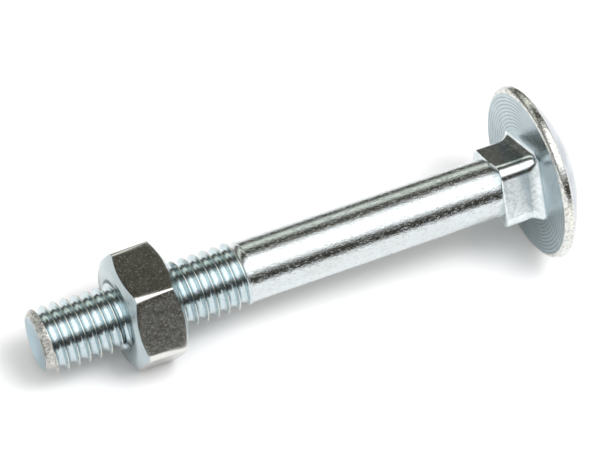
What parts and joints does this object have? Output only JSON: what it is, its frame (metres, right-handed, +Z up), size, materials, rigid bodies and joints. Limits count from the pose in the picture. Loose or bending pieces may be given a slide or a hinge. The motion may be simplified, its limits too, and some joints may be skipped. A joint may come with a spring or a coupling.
{
  "type": "carriage bolt with hexagon nut",
  "caption": "Zinc-plated steel carriage bolt with a low domed head, a square neck and a rolled right-hand thread, with its hexagon nut run part of the way on.",
  "frame": {"origin": "on the ground, in the middle of the box of the part as it lies at rest on its nut and the edge of its head", "axes": "+Z up; the bolt's axis lies in the XZ plane and runs from the threaded end at -X to the head at +X, climbing 4.17 degrees"},
  "size_m": [0.0508, 0.0162, 0.0161],
  "materials": {
    "zinc_bolt": "bright blue-clear zinc plating on cold-headed steel, speckled on the shank",
    "zinc_nut": "bright blue-clear zinc plating on a cold-formed nut, faintly mottled flats"
  },
  "bodies": {
    "bolt": {"carriage_bolt": "zinc_bolt"},
    "nut": {"hex_nut": "zinc_nut"}
  },
  "joints": [
    {"name": "nut_travel", "type": "slide", "parent": "bolt", "child": "nut", "axis": [0.9973, 0, 0.0728], "range_m": [-0.006, 0.005]}
  ]
}
